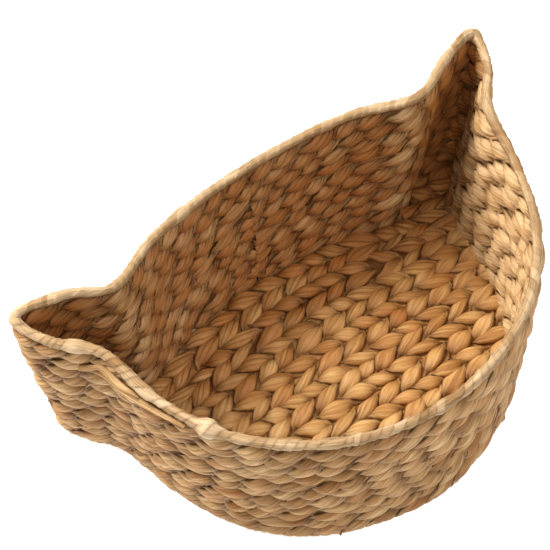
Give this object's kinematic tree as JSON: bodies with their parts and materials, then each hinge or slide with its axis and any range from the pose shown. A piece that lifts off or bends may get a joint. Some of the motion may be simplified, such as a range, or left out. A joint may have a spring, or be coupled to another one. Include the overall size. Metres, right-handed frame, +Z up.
{
  "type": "wicker pet bed basket",
  "caption": "Low open pet bed basket shaped like a cat's head with two pointed ears, woven in twined courses over a wire frame.",
  "frame": {"origin": "centre of the basket in plan, on the floor it stands on", "axes": "+Z up, +Y to the back edge between the ears, +X to the basket's own side, along the line from ear to ear"},
  "size_m": [0.5682, 0.3374, 0.2368],
  "materials": {
    "wall_hyacinth": "matt dried water hyacinth, flat twined strands",
    "floor_hyacinth": "satin dried water hyacinth, plump twined strands",
    "rim_leaf": "pale flat leaf wrapped round the rim wire",
    "steel_wire": "plain steel wire"
  },
  "bodies": {
    "root": {"wall_course_01": "wall_hyacinth", "wall_course_02": "wall_hyacinth", "wall_course_03": "wall_hyacinth", "wall_course_04": "wall_hyacinth", "wall_course_05": "wall_hyacinth", "wall_course_06": "wall_hyacinth", "wall_course_07": "wall_hyacinth", "wall_course_08": "wall_hyacinth", "wall_course_09": "wall_hyacinth", "wall_course_10": "wall_hyacinth", "wall_course_11": "wall_hyacinth", "floor_course_1": "floor_hyacinth", "floor_course_2": "floor_hyacinth", "floor_course_3": "floor_hyacinth", "floor_course_4": "floor_hyacinth", "floor_course_5": "floor_hyacinth", "floor_course_6": "floor_hyacinth", "floor_course_7": "floor_hyacinth", "floor_course_8": "floor_hyacinth", "floor_course_9": "floor_hyacinth", "ear_floor_left": "floor_hyacinth", "ear_floor_right": "floor_hyacinth", "upright_01": "steel_wire", "upright_02": "steel_wire", "upright_03": "steel_wire", "upright_04": "steel_wire", "upright_05": "steel_wire", "upright_06": "steel_wire", "upright_07": "steel_wire", "upright_08": "steel_wire", "upright_09": "steel_wire", "upright_10": "steel_wire", "upright_11": "steel_wire", "upright_12": "steel_wire", "upright_13": "steel_wire", "upright_14": "steel_wire", "upright_15": "steel_wire", "upright_16": "steel_wire", "upright_17": "steel_wire", "upright_18": "steel_wire", "upright_19": "steel_wire", "upright_20": "steel_wire", "upright_21": "steel_wire", "upright_22": "steel_wire", "upright_23": "steel_wire", "upright_24": "steel_wire", "floor_stake_1": "steel_wire", "floor_stake_2": "steel_wire", "floor_stake_3": "steel_wire", "floor_stake_4": "steel_wire", "floor_stake_5": "steel_wire", "floor_stake_6": "steel_wire", "floor_stake_7": "steel_wire", "base_hoop": "steel_wire", "rim_hoop": "steel_wire", "rim_binding": "rim_leaf"}
  },
  "joints": []
}
